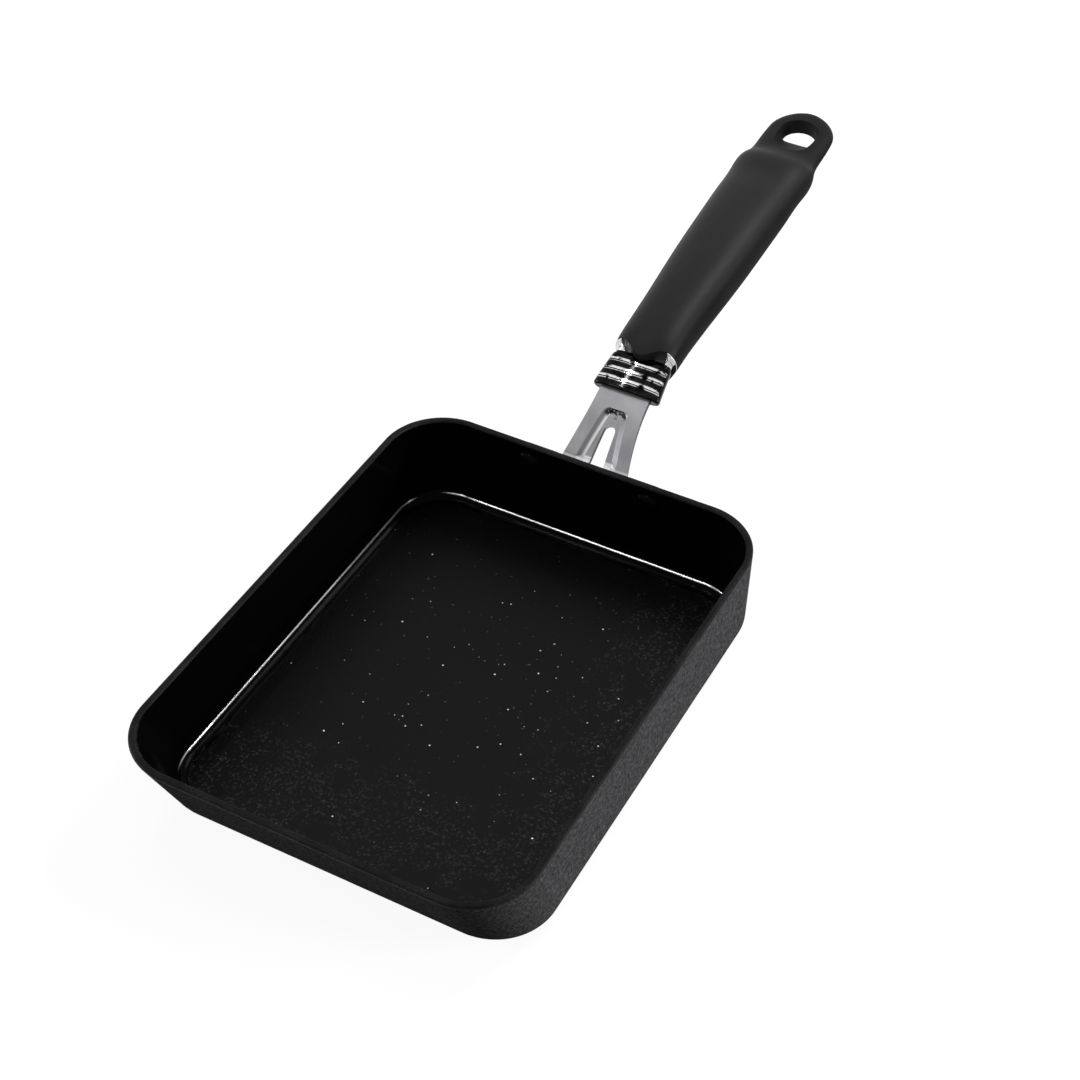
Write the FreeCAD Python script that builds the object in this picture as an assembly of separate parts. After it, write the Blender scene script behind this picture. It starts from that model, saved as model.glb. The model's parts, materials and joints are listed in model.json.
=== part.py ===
import FreeCAD, Part
import math
import os
from FreeCAD import Placement, Rotation, Vector

# Rectangular pan for rolled omelettes, in millimetres and degrees.
# The origin is the centre of the flat underside, midway between the rim's front and back.
# +Z is up and the handle runs back along +Y.

# Pan body: pressed aluminium, with the front wall laid back so that the roll slides out
RIM_WIDTH = 140.0
RIM_LENGTH = 190.0
PAN_HEIGHT = 36.5
PAN_WALL = 2.5
RIM_CORNER_RADIUS = 22.5
BASE_CORNER_RADIUS = 21.5
SIDE_DRAFT = 1.0
BACK_DRAFT = 3.0
FRONT_DRAFT = 25.0
BASE_EDGE_RADIUS = 8.5
FLOOR_EDGE_RADIUS = 5.0
RIM_EDGE_RADIUS = 0.8

# Rivets through the back wall
RIVET_SPREAD = 46.6
RIVET_DROP = 8.6
RIVET_SHANK_RADIUS = 2.5
RIVET_INNER_HEAD_RADIUS = 5.0
RIVET_INNER_HEAD_HEIGHT = 1.6
RIVET_OUTER_HEAD_RADIUS = 4.2
RIVET_OUTER_HEAD_HEIGHT = 2.0
RIVET_MARGIN = 6.5

# Bracket: one pressed sheet, bent from the wall's flange into the arm and on into the tang
SHEET = 2.0
FLANGE_DEPTH = 16.9
FLANGE_FOOT_WIDTH = 24.0
FLANGE_CORNER_RADIUS = 5.0
FLANGE_RELIEF = 1.2
BEND_DROP = 11.08
BEND_RADIUS = 9.5
ARM_SLOPE = 45.0
ARM_RADIUS = 86.5
HANDLE_TILT = 6.65
ARM_ROOT_WIDTH = 26.0
ARM_WAIST_WIDTH = 20.8
ARM_NECK_WIDTH = 19.1
TANG_WIDTH = 12.0
TANG_LENGTH = 40.0
CHANNEL_START = -62.5
CHANNEL_FULL = -56.0
CHANNEL_END = -35.9
CHANNEL_ROOT_WIDTH = 10.9
CHANNEL_END_WIDTH = 4.9
CHANNEL_DEPTH = 1.4
CHANNEL_DRAFT = 60.0
SLOT_START = -63.0
SLOT_END = -41.8
SLOT_ROOT_WIDTH = 6.2
SLOT_END_WIDTH = 4.4

# Flame guard: collar round the arm's neck with pressed ribs, and a sleeve that plugs into the grip
COLLAR_START = -29.2
COLLAR_LENGTH = 14.2
COLLAR_FRONT_WIDTH = 26.0
COLLAR_BACK_WIDTH = 22.8
COLLAR_HEIGHT = 6.6
COLLAR_EDGE_RADIUS = 1.0
RIB_COUNT = 3
RIB_PITCH = 3.7
RIB_WIDTH = 1.5
RIB_HEIGHT = 0.45
RIB_FLANK = 0.4
RIB_MARGIN = 0.8
RIB_END_RADIUS = 0.6
SLEEVE_END = -1.0
SLEEVE_END_WIDTH = 17.6
SLEEVE_SETBACK = 0.4

# Grip: moulded phenolic, measured along the handle's own line from where the arm's curve ends
GRIP_NOSE = -16.8
GRIP_NOSE_WIDTH = 23.2
GRIP_NOSE_HEIGHT = 13.4
GRIP_FRONT = -12.2
GRIP_FRONT_WIDTH = 24.2
GRIP_FRONT_HEIGHT = 16.2
GRIP_WAIST = 5.0
GRIP_WAIST_WIDTH = 24.9
GRIP_WAIST_HEIGHT = 18.6
GRIP_MIDDLE = 45.0
GRIP_MIDDLE_WIDTH = 28.5
GRIP_MIDDLE_HEIGHT = 20.0
GRIP_SWELL = 101.0
GRIP_SWELL_WIDTH = 30.6
GRIP_SWELL_HEIGHT = 15.2
TAIL_ROOT = 105.5
TAIL_ROOT_WIDTH = 28.2
TAIL_ROOT_HEIGHT = 11.0
TAIL_WIDTH = 26.7
TAIL_HEIGHT = 6.6
GRIP_END = 136.2
TONGUE_WIDTH = 18.0
LIP_DROP = 2.8

# Hanging hole: a half-moon slot through the tail, with a scoop above it that leads a hook in
SCOOP_WIDTH = 15.6
SCOOP_LENGTH = 18.2
SCOOP_DEPTH = 5.8
SCOOP_RISE = 2.0
HANG_SLOT_WIDTH = 13.2
HANG_SLOT_LENGTH = 8.2
HANG_ARCH = 6.4
HANG_END_MARGIN = 6.8

# Screw that holds the grip on the tang
SCREW_PLACE = 26.0
SCREW_RADIUS = 2.5
SCREW_HEAD_RADIUS = 4.6
SCREW_HEAD_HEIGHT = 3.0
SCREW_TIP_PROUD = 1.0
CROSS_RECESS_LENGTH = 5.0
CROSS_RECESS_WIDTH = 1.1
CROSS_RECESS_DEPTH = 1.6
SEAT_WALL = 3.0
FLAT_WASHER_RADIUS = 5.0
FLAT_WASHER_THICKNESS = 1.0
SPRING_WASHER_RADIUS = 4.5
SPRING_WASHER_THICKNESS = 1.2
SPRING_WASHER_SLIT = 0.8
NUT_ACROSS_FLATS = 8.0
NUT_THICKNESS = 4.0

# Clearances
RIVET_CLEARANCE = 0.05
SHEET_CLEARANCE = 0.15
SLEEVE_CLEARANCE = 0.15
TONGUE_CLEARANCE = 0.25
SCREW_HOLE_CLEARANCE = 0.25
THREAD_CLEARANCE = 0.05
HEAD_CLEARANCE = 0.5

# Fullness of the moulded sections, and how finely they are drawn
GRIP_FULLNESS = 0.69
COLLAR_FULLNESS = 0.81
ARCH_FULLNESS = 0.5523
SILL_FULLNESS = 0.85
SECTION_SPACING = 12.0
TAIL_STEPS = 6
TAIL_LAST_ANGLE = 84.0
TAIL_EDGE_SHARE = 0.35
CHANNEL_STEPS = 8
LEAD_STEPS = 4
ROUND_END_STEPS = 4
ROUND_END_LAST_ANGLE = 87.0
SLEEVE_STEPS = 4
TONGUE_STEPS = 12
LEVEL_TOLERANCE = 1e-6
OVERCUT = 20.0

X_AXIS = Vector(1, 0, 0)
Z_AXIS = Vector(0, 0, 1)


def sine(angle):
    return math.sin(math.radians(angle))


def cosine(angle):
    return math.cos(math.radians(angle))


def tangent(angle):
    return math.tan(math.radians(angle))


# Plan outlines


def rounded_outline(half_width, front, back, radius, z):
    """Closed wire of a rectangle with round corners, symmetric about X = 0, at height z."""
    left, right = -half_width, half_width
    corners = (
        (right - radius, back - radius, 0.0),
        (left + radius, back - radius, 90.0),
        (left + radius, front + radius, 180.0),
        (right - radius, front + radius, 270.0),
    )
    arcs = []
    for x, y, start in corners:
        points = [
            Vector(x + radius * cosine(start + swing), y + radius * sine(start + swing), z)
            for swing in (0.0, 45.0, 90.0)
        ]
        arcs.append(Part.Arc(*points))
    edges = []
    for index, arc in enumerate(arcs):
        following = arcs[(index + 1) % len(arcs)]
        edges.append(arc.toShape())
        edges.append(Part.LineSegment(arc.EndPoint, following.StartPoint).toShape())
    return Part.Wire(edges)


# Pan body


def pan_section(z, inset):
    """Outline of the pan's outer surface at height z, moved inwards by inset."""
    depth = PAN_HEIGHT - z
    half_width = RIM_WIDTH / 2 - depth * tangent(SIDE_DRAFT) - inset / cosine(SIDE_DRAFT)
    back = RIM_LENGTH / 2 - depth * tangent(BACK_DRAFT) - inset / cosine(BACK_DRAFT)
    front = -RIM_LENGTH / 2 + depth * tangent(FRONT_DRAFT) + inset / cosine(FRONT_DRAFT)
    radius = RIM_CORNER_RADIUS + (BASE_CORNER_RADIUS - RIM_CORNER_RADIUS) * depth / PAN_HEIGHT - inset
    return rounded_outline(half_width, front, back, radius, z)


def edges_at_height(shape, z):
    return [
        edge for edge in shape.Edges
        if all(abs(vertex.Z - z) < LEVEL_TOLERANCE for vertex in edge.Vertexes)
    ]


def drafted_tub(floor, top, inset, edge_radius):
    """Solid with the pan's drafted sides, from floor to top, with a rounded bottom edge."""
    tub = Part.makeLoft([pan_section(floor, inset), pan_section(top, inset)], True, True)
    return tub.makeFillet(edge_radius, edges_at_height(tub, floor))


def make_pan_body():
    outside = drafted_tub(0.0, PAN_HEIGHT, 0.0, BASE_EDGE_RADIUS)
    cavity = drafted_tub(PAN_WALL, PAN_HEIGHT + PAN_WALL, PAN_WALL, FLOOR_EDGE_RADIUS)
    pan = outside.cut(cavity)
    pan = pan.makeFillet(RIM_EDGE_RADIUS, edges_at_height(pan, PAN_HEIGHT))
    for side in (-1, 1):
        start = Vector(0, 0, -PAN_WALL - OVERCUT)
        hole = Part.makeCylinder(RIVET_SHANK_RADIUS + RIVET_CLEARANCE, PAN_WALL + 2 * OVERCUT, start)
        pan = pan.cut(hole.transformed(rivet_place(side).toMatrix()))
    return pan


# Back wall: the place of the rivets and of the bracket's flange on its outer face


def wall_place(x):
    """Local Z points out of the back wall, local Y down it, from the row of rivets."""
    height = PAN_HEIGHT - RIVET_DROP
    back = RIM_LENGTH / 2 - RIVET_DROP * tangent(BACK_DRAFT)
    return Placement(Vector(x, back, height), Rotation(X_AXIS, -90.0 - BACK_DRAFT))


def rivet_place(side):
    return wall_place(side * RIVET_SPREAD / 2)


def make_bracket_rivets():
    inner_face = -PAN_WALL
    outer_face = SHEET
    inner_top = Vector(0, 0, inner_face - RIVET_INNER_HEAD_HEIGHT)
    inner_edge = Vector(RIVET_INNER_HEAD_RADIUS, 0, inner_face)
    outer_edge = Vector(RIVET_OUTER_HEAD_RADIUS, 0, outer_face)
    outer_top = Vector(0, 0, outer_face + RIVET_OUTER_HEAD_HEIGHT)
    shank_inner = Vector(RIVET_SHANK_RADIUS, 0, inner_face)
    shank_outer = Vector(RIVET_SHANK_RADIUS, 0, outer_face)
    profile = Part.Wire([
        dome_arc(inner_top, inner_edge).toShape(),
        Part.LineSegment(inner_edge, shank_inner).toShape(),
        Part.LineSegment(shank_inner, shank_outer).toShape(),
        Part.LineSegment(shank_outer, outer_edge).toShape(),
        dome_arc(outer_edge, outer_top).toShape(),
        Part.LineSegment(outer_top, inner_top).toShape(),
    ])
    rivet = Part.Face(profile).revolve(Vector(), Z_AXIS, 360)
    return Part.Compound([rivet.transformed(rivet_place(side).toMatrix()) for side in (-1, 1)])


def dome_arc(start, end):
    """Arc of a low dome between its top on the axis and its edge, given in either order."""
    top, edge = (start, end) if start.x < end.x else (end, start)
    rise = top.z - edge.z
    radius = (edge.x ** 2 + rise ** 2) / (2 * abs(rise))
    centre = top.z - math.copysign(radius, rise)
    half_angle = math.asin(edge.x / radius) / 2
    middle_level = centre + math.copysign(radius * math.cos(half_angle), rise)
    return Part.Arc(start, Vector(radius * math.sin(half_angle), 0, middle_level), end)


# Bent sheet: the mid line of the bracket in the plane X = 0


def turn(point, radius, start_angle, end_angle):
    """Point reached from a point on a curve that turns from one slope to a lower one."""
    along = radius * (sine(start_angle) - sine(end_angle))
    rise = radius * (cosine(end_angle) - cosine(start_angle))
    return point + Vector(0, along, rise)


def beside(point, angle, offset):
    """Point moved off the line to its outer or lower side, square to its slope."""
    return point + Vector(0, offset * sine(angle), -offset * cosine(angle))


WALL_SLOPE = 90.0 - BACK_DRAFT
BEND_ON_WALL = Vector(0, RIM_LENGTH / 2 - BEND_DROP * tangent(BACK_DRAFT), PAN_HEIGHT - BEND_DROP)
BEND_START = beside(BEND_ON_WALL, WALL_SLOPE, SHEET / 2)
BEND_END = turn(BEND_START, BEND_RADIUS, WALL_SLOPE, ARM_SLOPE)
CURVE_END = turn(BEND_END, ARM_RADIUS, ARM_SLOPE, HANDLE_TILT)
COLLAR_END = COLLAR_START + COLLAR_LENGTH


def handle_place(distance):
    """Frame on the bent line: local Y along it and local Z up, measured from the end of the arm's curve."""
    curve_length = ARM_RADIUS * math.radians(ARM_SLOPE - HANDLE_TILT)
    if distance >= 0:
        slope = HANDLE_TILT
        point = CURVE_END + Vector(0, distance * cosine(slope), distance * sine(slope))
    elif distance >= -curve_length:
        slope = HANDLE_TILT + math.degrees(-distance / ARM_RADIUS)
        point = turn(BEND_END, ARM_RADIUS, ARM_SLOPE, slope)
    else:
        slope = ARM_SLOPE + math.degrees((-distance - curve_length) / BEND_RADIUS)
        point = turn(BEND_START, BEND_RADIUS, WALL_SLOPE, slope)
    return Placement(point, Rotation(X_AXIS, slope))


def sheet_line(offset, past_end):
    """Edges of the sheet's bent line, offset to its outer side, from the flange's foot to the tang's end."""
    up_the_wall = Vector(0, cosine(WALL_SLOPE), sine(WALL_SLOPE))
    foot = BEND_START - up_the_wall * (FLANGE_DEPTH + RIVET_DROP - BEND_DROP)
    tip = handle_place(TANG_LENGTH + past_end).Base
    stops = [beside(foot, WALL_SLOPE, offset), beside(BEND_START, WALL_SLOPE, offset)]
    edges = [Part.LineSegment(*stops)]
    bends = (
        (BEND_START, BEND_RADIUS, WALL_SLOPE, ARM_SLOPE),
        (BEND_END, ARM_RADIUS, ARM_SLOPE, HANDLE_TILT),
    )
    for start, radius, slope, end_slope in bends:
        slopes = (slope, (slope + end_slope) / 2, end_slope)
        points = [beside(turn(start, radius, slope, now), now, offset) for now in slopes]
        edges.append(Part.Arc(*points))
    edges.append(Part.LineSegment(edges[-1].EndPoint, beside(tip, HANDLE_TILT, offset)))
    return edges


def bent_sheet(upper, lower, width, past_end=0.0):
    """Bent strip between two offsets from the mid line, of one width all along."""
    top = sheet_line(upper, past_end)
    bottom = sheet_line(lower, past_end)
    edges = [edge.toShape() for edge in top + bottom]
    edges.append(Part.LineSegment(top[0].StartPoint, bottom[0].StartPoint).toShape())
    edges.append(Part.LineSegment(top[-1].EndPoint, bottom[-1].EndPoint).toShape())
    profile = Part.Face(Part.Wire(Part.__sortEdges__(edges)))
    profile.translate(Vector(-width / 2, 0, 0))
    return profile.extrude(Vector(width, 0, 0))


# Bracket


def arm_outline():
    """Plan outline that narrows the strip from its root to the neck and then to the tang."""
    root = BEND_START.y + SHEET
    neck_place = handle_place(COLLAR_END).Base.y
    neck_edge = handle_place(COLLAR_START).Base.y
    end = handle_place(TANG_LENGTH).Base.y + OVERCUT
    start = root - OVERCUT
    sides = []
    for side in (1, -1):
        points = [
            Vector(side * ARM_ROOT_WIDTH / 2, start, 0),
            Vector(side * ARM_ROOT_WIDTH / 2, root, 0),
            Vector(side * ARM_NECK_WIDTH / 2, neck_edge, 0),
            Vector(side * ARM_NECK_WIDTH / 2, neck_place, 0),
            Vector(side * TANG_WIDTH / 2, neck_place, 0),
            Vector(side * TANG_WIDTH / 2, end, 0),
        ]
        waist = Vector(side * ARM_WAIST_WIDTH / 2, (root + neck_edge) / 2, 0)
        edges = [Part.LineSegment(points[0], points[1]), Part.Arc(points[1], waist, points[2])]
        edges += [Part.LineSegment(points[i], points[i + 1]) for i in range(2, 5)]
        sides.append((points, edges))
    (right, right_edges), (left, left_edges) = sides
    ends = [Part.LineSegment(right[0], left[0]), Part.LineSegment(right[-1], left[-1])]
    edges = [edge.toShape() for edge in right_edges + left_edges + ends]
    return Part.Face(Part.Wire(Part.__sortEdges__(edges)))


def make_flange():
    """Plate on the pan's back wall: a wing round each rivet, and a gap where the arm bends away."""
    wing = RIVET_SPREAD / 2 + RIVET_MARGIN
    foot = FLANGE_FOOT_WIDTH / 2
    corners = [
        Vector(-wing, -RIVET_MARGIN, 0),
        Vector(wing, -RIVET_MARGIN, 0),
        Vector(wing, RIVET_MARGIN, 0),
        Vector(foot, FLANGE_DEPTH, 0),
        Vector(-foot, FLANGE_DEPTH, 0),
        Vector(-wing, RIVET_MARGIN, 0),
    ]
    plate = Part.Face(Part.makePolygon(corners + corners[:1])).extrude(Vector(0, 0, SHEET))
    upright = [edge for edge in plate.Edges if abs(edge.Vertexes[0].Z - edge.Vertexes[1].Z) > SHEET / 2]
    plate = plate.makeFillet(FLANGE_CORNER_RADIUS, upright)
    gap_width = ARM_ROOT_WIDTH + 2 * FLANGE_RELIEF
    gap_depth = RIVET_MARGIN + (BEND_DROP - RIVET_DROP) / cosine(BACK_DRAFT)
    gap = Part.makeBox(
        gap_width, gap_depth + OVERCUT, SHEET + 2 * OVERCUT,
        Vector(-gap_width / 2, -RIVET_MARGIN - OVERCUT, -OVERCUT),
    )
    plate = plate.cut(gap)
    for side in (-1, 1):
        centre = Vector(side * RIVET_SPREAD / 2, 0, -OVERCUT)
        hole = Part.makeCylinder(RIVET_SHANK_RADIUS + RIVET_CLEARANCE, SHEET + 2 * OVERCUT, centre)
        plate = plate.cut(hole)
    return plate.transformed(wall_place(0.0).toMatrix())


def trough(stations, floor_drop, grow):
    """Solid that follows the bent line: stations of (place, floor width, depth), with leaning side walls."""
    top = SHEET / 2
    lean = tangent(CHANNEL_DRAFT)
    sections = []
    for distance, width, depth in stations:
        place = handle_place(distance)
        floor_half = width / 2 + grow
        top_half = floor_half + (depth + SHEET) * lean
        corners = [
            (-top_half, top + SHEET - floor_drop), (top_half, top + SHEET - floor_drop),
            (floor_half, top - depth - floor_drop), (-floor_half, top - depth - floor_drop),
        ]
        points = [place.multVec(Vector(x, 0, z)) for x, z in corners]
        sections.append(Part.makePolygon(points + points[:1]))
    return Part.makeLoft(sections, True, True)


def round_end(start, start_width, end, end_width):
    """(place, width) stations of a strip that narrows from its start to a half-round end."""
    stations = []
    centre = end - end_width / 2
    for step in range(CHANNEL_STEPS + 1):
        share = step / CHANNEL_STEPS
        width = start_width + (end_width - start_width) * share
        stations.append((start + (centre - start) * share, width))
    for step in range(1, ROUND_END_STEPS + 1):
        angle = ROUND_END_LAST_ANGLE * step / ROUND_END_STEPS
        stations.append((centre + end_width / 2 * sine(angle), end_width * cosine(angle)))
    return stations


def channel_stations():
    run = round_end(CHANNEL_FULL, CHANNEL_ROOT_WIDTH, CHANNEL_END, CHANNEL_END_WIDTH)
    lead = []
    for step in range(LEAD_STEPS):
        share = step / LEAD_STEPS
        place = CHANNEL_START + (CHANNEL_FULL - CHANNEL_START) * share
        lead.append((place, CHANNEL_ROOT_WIDTH, CHANNEL_DEPTH * share))
    return lead + [(place, width, CHANNEL_DEPTH) for place, width in run]


def slot_cutter():
    """Straight-sided cutter of the slot in the channel's floor."""
    sections = []
    for distance, width in round_end(SLOT_START, SLOT_ROOT_WIDTH, SLOT_END, SLOT_END_WIDTH):
        place = handle_place(distance)
        reach = CHANNEL_DEPTH + SHEET
        half = width / 2
        corners = [(-half, reach), (half, reach), (half, -reach), (-half, -reach)]
        points = [place.multVec(Vector(x, 0, z)) for x, z in corners]
        sections.append(Part.makePolygon(points + points[:1]))
    return Part.makeLoft(sections, True, True)


def make_handle_bracket():
    half = SHEET / 2
    strip_width = ARM_ROOT_WIDTH + 2 * OVERCUT
    trim_height = handle_place(TANG_LENGTH).Base.z + OVERCUT
    trim = arm_outline().extrude(Vector(0, 0, trim_height))
    strip = bent_sheet(-half, half, strip_width).common(trim)
    above = bent_sheet(-half - OVERCUT, -half, strip_width)
    hollow = trough(channel_stations(), 0.0, 0.0)
    bulge = trough(channel_stations(), SHEET, SHEET / 2).cut(above)
    bracket = strip.fuse([make_flange(), bulge]).cut([hollow, slot_cutter(), tang_hole()])
    return bracket.removeSplitter()


def tang_hole():
    hole = Part.makeCylinder(SCREW_RADIUS + THREAD_CLEARANCE, 2 * OVERCUT, Vector(0, 0, -OVERCUT))
    return hole.transformed(handle_place(SCREW_PLACE).toMatrix())


# Sections of the moulded handle pieces


def oval_wire(width, height, fullness, to_space):
    """Closed oval of four curves; fullness moves it from an ellipse towards a rectangle."""
    a, b = width / 2, height / 2
    edges = []
    for right, up in ((1, 1), (-1, 1), (-1, -1), (1, -1)):
        poles = [(a, 0), (a, fullness * b), (fullness * a, b), (0, b)]
        if right * up < 0:
            poles.reverse()
        curve = Part.BezierCurve()
        curve.setPoles([to_space(right * x, up * y) for x, y in poles])
        edges.append(curve.toShape())
    return Part.Wire(edges)


def section_wire(distance, width, height, fullness):
    """Oval square to the handle's line at a distance along it."""
    place = handle_place(distance)
    return oval_wire(width, height, fullness, lambda x, z: place.multVec(Vector(x, 0, z)))


# Flame guard


def collar_width(distance):
    share = (distance - COLLAR_START) / COLLAR_LENGTH
    return COLLAR_FRONT_WIDTH + (COLLAR_BACK_WIDTH - COLLAR_FRONT_WIDTH) * share


def collar_section(distance, grow):
    """Outline of the collar at a distance along the handle, grown all round."""
    width = collar_width(distance) + 2 * grow
    return section_wire(distance, width, COLLAR_HEIGHT + 2 * grow, COLLAR_FULLNESS)


def plain_collar():
    """Smooth collar with rounded front and back edges."""
    places = [COLLAR_START + COLLAR_LENGTH * step / SLEEVE_STEPS for step in range(SLEEVE_STEPS + 1)]
    collar = Part.makeLoft([collar_section(place, 0.0) for place in places], True, False)
    ends = [face for face in collar.Faces if face.Surface.TypeId == "Part::GeomPlane"]
    return collar.makeFillet(COLLAR_EDGE_RADIUS, [edge for face in ends for edge in face.Edges])


def collar_rib(place):
    """One rib across the collar, above and below, that stops short of the collar's sides."""
    half = RIB_WIDTH / 2
    crest = half - RIB_FLANK
    profile = ((-half, -RIB_HEIGHT), (-crest, RIB_HEIGHT), (crest, RIB_HEIGHT), (half, -RIB_HEIGHT))
    rib = Part.makeLoft([collar_section(place + along, grow) for along, grow in profile], True, True)
    reach = collar_width(place) / 2 - RIB_MARGIN
    window = Part.Face(rounded_outline(reach, -half, half, RIB_END_RADIUS, -COLLAR_HEIGHT))
    window = window.extrude(Vector(0, 0, 2 * COLLAR_HEIGHT))
    return rib.common(window.transformed(handle_place(place).toMatrix()))


def ribbed_collar():
    middle = COLLAR_START + COLLAR_LENGTH / 2
    ribs = [collar_rib(middle + (index - (RIB_COUNT - 1) / 2) * RIB_PITCH) for index in range(RIB_COUNT)]
    return plain_collar().fuse(ribs)


def sleeve_solid(start, end, grow):
    """Smooth tongue of the guard that narrows into the grip."""
    sunk = 2 * SLEEVE_SETBACK
    first = COLLAR_BACK_WIDTH - sunk
    height = COLLAR_HEIGHT - sunk
    sections = []
    for step in range(SLEEVE_STEPS + 1):
        place = start + (end - start) * step / SLEEVE_STEPS
        share = (place - COLLAR_END) / (SLEEVE_END - COLLAR_END)
        width = first + (SLEEVE_END_WIDTH - first) * share
        sections.append(section_wire(place, width + 2 * grow, height + 2 * grow, COLLAR_FULLNESS))
    return Part.makeLoft(sections, True, False)


def neck_pocket(clearance):
    """Room for the arm's full neck, as far in as the shoulders where the tang begins."""
    half = SHEET / 2 + clearance
    strip = bent_sheet(-half, half, ARM_NECK_WIDTH + 2 * clearance)
    back = handle_place(COLLAR_END).Base.y + clearance
    reach = 2 * ARM_RADIUS
    return strip.common(Part.makeBox(reach, reach, reach, Vector(-reach / 2, back - reach, 0)))


def tang_room(clearance):
    """Room for the tang, all along it and a little past its end."""
    half = SHEET / 2 + clearance
    return bent_sheet(-half, half, TANG_WIDTH + 2 * clearance, clearance)


def make_flame_guard():
    guard = ribbed_collar().fuse(sleeve_solid(COLLAR_END - 2 * COLLAR_EDGE_RADIUS, SLEEVE_END, 0.0))
    return guard.cut([tang_room(SHEET_CLEARANCE), neck_pocket(SHEET_CLEARANCE)])


# Grip

TAIL_CENTRE = GRIP_END - TAIL_WIDTH / 2


def smooth_value(stations, place):
    """Value at a place on the smooth curve through (place, value) stations that never overshoots them."""
    gaps = list(zip(stations, stations[1:]))
    slopes = [(after[1] - before[1]) / (after[0] - before[0]) for before, after in gaps]
    leans = [slopes[0]]
    for before, after in zip(slopes, slopes[1:]):
        leans.append(2 * before * after / (before + after) if before * after > 0 else 0.0)
    leans.append(0.0)
    for index, (before, after) in enumerate(gaps):
        if place <= after[0]:
            break
    width = after[0] - before[0]
    share = (place - before[0]) / width
    left = 1 - share
    start = left ** 2 * ((1 + 2 * share) * before[1] + share * width * leans[index])
    end = share ** 2 * ((1 + 2 * left) * after[1] - left * width * leans[index + 1])
    return start + end


def grip_blank():
    """Whole outside of the grip, from the tongue's tip to the round end of the tail."""
    widths = (
        (GRIP_NOSE, GRIP_NOSE_WIDTH),
        (GRIP_FRONT, GRIP_FRONT_WIDTH),
        (GRIP_WAIST, GRIP_WAIST_WIDTH),
        (GRIP_MIDDLE, GRIP_MIDDLE_WIDTH),
        (GRIP_SWELL, GRIP_SWELL_WIDTH),
        (TAIL_ROOT, TAIL_ROOT_WIDTH),
        (TAIL_CENTRE, TAIL_WIDTH),
    )
    heights = (
        (GRIP_NOSE, GRIP_NOSE_HEIGHT),
        (GRIP_FRONT, GRIP_FRONT_HEIGHT),
        (GRIP_WAIST, GRIP_WAIST_HEIGHT),
        (GRIP_MIDDLE, GRIP_MIDDLE_HEIGHT),
        (GRIP_SWELL, GRIP_SWELL_HEIGHT),
        (TAIL_ROOT, TAIL_ROOT_HEIGHT),
        (TAIL_CENTRE, TAIL_HEIGHT),
    )
    sections = []
    for (start, _), (end, _) in zip(widths, widths[1:]):
        steps = max(2, round((end - start) / SECTION_SPACING))
        for step in range(steps):
            place = start + (end - start) * step / steps
            size = smooth_value(widths, place), smooth_value(heights, place)
            sections.append(section_wire(place, *size, GRIP_FULLNESS))
    for step in range(TAIL_STEPS):
        angle = TAIL_LAST_ANGLE * step / (TAIL_STEPS - 1)
        place = TAIL_CENTRE + TAIL_WIDTH / 2 * sine(angle)
        height = TAIL_HEIGHT * cosine(angle) ** TAIL_EDGE_SHARE
        sections.append(section_wire(place, TAIL_WIDTH * cosine(angle), height, GRIP_FULLNESS))
    return Part.makeLoft(sections, True, False)


def front_trim():
    """What goes ahead of the grip's front edge, all but the lower lip and the bell-shaped tongue on top."""
    reach = GRIP_FRONT - GRIP_NOSE
    half = TONGUE_WIDTH / 2
    bell = []
    for step in range(TONGUE_STEPS + 1):
        x = half * (2 * step / TONGUE_STEPS - 1)
        bell.append(Vector(x, -reach * (1 + math.cos(math.pi * x / half)) / 2, 0))
    curve = Part.BSplineCurve()
    curve.interpolate(bell)
    corners = [bell[-1], Vector(half, OVERCUT, 0), Vector(-half, OVERCUT, 0), bell[0]]
    tongue = Part.Face(Part.Wire([curve.toShape()] + Part.makePolygon(corners).Edges))
    tongue = tongue.extrude(Vector(0, 0, OVERCUT))
    block = Part.makeBox(2 * OVERCUT, OVERCUT, OVERCUT + LIP_DROP, Vector(-OVERCUT, -OVERCUT, -LIP_DROP))
    return block.cut(tongue).transformed(handle_place(GRIP_FRONT).toMatrix())


def hole_outline(share, level):
    """Outline of the hanging hole, arched at the back: its slot at share 0, the scoop's mouth at share 1."""
    half = (HANG_SLOT_WIDTH + (SCOOP_WIDTH - HANG_SLOT_WIDTH) * share) / 2
    length = HANG_SLOT_LENGTH + (SCOOP_LENGTH - HANG_SLOT_LENGTH) * share
    waist = GRIP_END - HANG_END_MARGIN - HANG_ARCH
    edges = []
    for depth, fullness in ((HANG_ARCH, ARCH_FULLNESS), (HANG_ARCH - length, SILL_FULLNESS)):
        for side in (1, -1):
            poles = [(half, 0), (half, fullness * depth), (fullness * half, depth), (0, depth)]
            curve = Part.BezierCurve()
            curve.setPoles([Vector(side * x, waist + y, level) for x, y in poles])
            edges.append(curve.toShape())
    return Part.Wire(Part.__sortEdges__(edges))


def hanging_hole():
    """Slot through the tail, and the scoop above it that leads a hook in."""
    slot = Part.Face(hole_outline(0.0, -OVERCUT)).extrude(Vector(0, 0, 2 * OVERCUT))
    above = 1 + SCOOP_RISE / SCOOP_DEPTH
    bottom = TAIL_HEIGHT / 2 - SCOOP_DEPTH
    outlines = [hole_outline(0.0, bottom), hole_outline(above, bottom + SCOOP_DEPTH * above)]
    scoop = Part.makeLoft(outlines, True, True)
    return slot.fuse(scoop).transformed(handle_place(0.0).toMatrix())


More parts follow.
